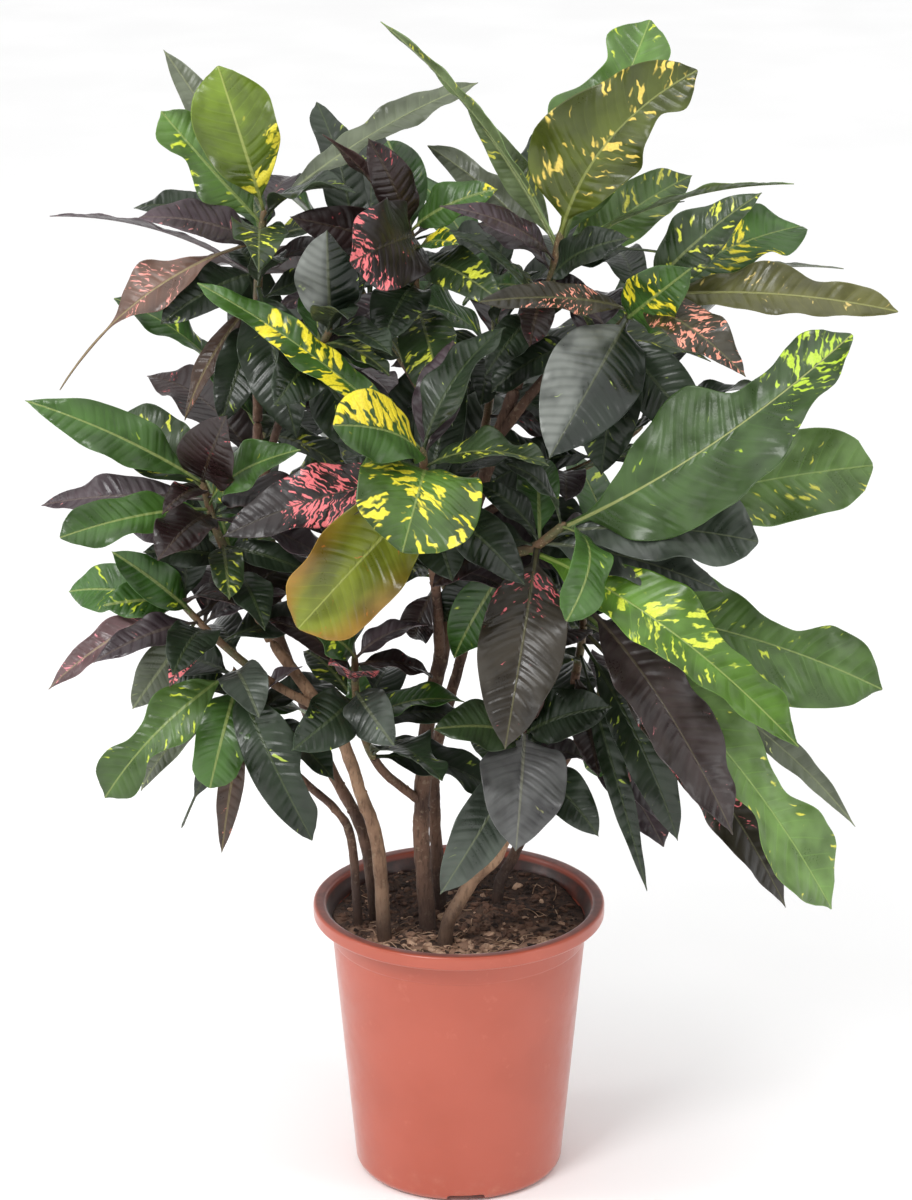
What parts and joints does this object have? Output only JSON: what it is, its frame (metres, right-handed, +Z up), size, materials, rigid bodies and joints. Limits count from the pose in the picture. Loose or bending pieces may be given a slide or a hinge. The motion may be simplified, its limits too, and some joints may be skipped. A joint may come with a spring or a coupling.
{
  "type": "potted croton",
  "caption": "Bushy croton with leathery, colour-splashed leaves on bare woody stems, growing in a soil-filled round tapered plastic nursery pot with a rolled rim.",
  "frame": {"origin": "centre of the pot's underside, in the plane that it stands on", "axes": "+Z up, -Y towards the front of the plant, +X to the viewer's right"},
  "size_m": [0.6716, 0.5176, 0.9608],
  "materials": {
    "pot": "satin moulded terracotta-coloured plastic",
    "soil": "crumbly peat and bark potting soil with fibrous bits",
    "bark": "dull brown bark with leaf scars",
    "leaf": "glossy leathery leaf, splashed yellow or pink"
  },
  "bodies": {
    "root": {"pot": "pot", "soil": "soil", "main_stem": "bark", "dark_stem": "bark", "front_stem": "bark", "left_stem": "bark", "thin_stem": "bark", "right_stem": "bark", "back_stem": "bark", "upper_right_shoot": "leaf", "right_shoulder_shoot": "leaf", "right_shoot": "leaf", "front_shoot": "leaf", "upper_middle_shoot": "leaf", "upper_left_shoot": "leaf", "left_shoulder_shoot": "leaf", "left_upper_shoot": "leaf", "left_middle_shoot": "leaf", "left_lower_shoot": "leaf", "low_middle_shoot": "leaf", "low_right_shoot": "leaf", "low_front_shoot": "leaf", "back_upper_shoot": "leaf", "back_crown_shoot": "leaf", "back_left_shoot": "leaf", "back_middle_shoot": "leaf", "back_right_shoot": "leaf", "right_side_shoot": "leaf"}
  },
  "joints": []
}
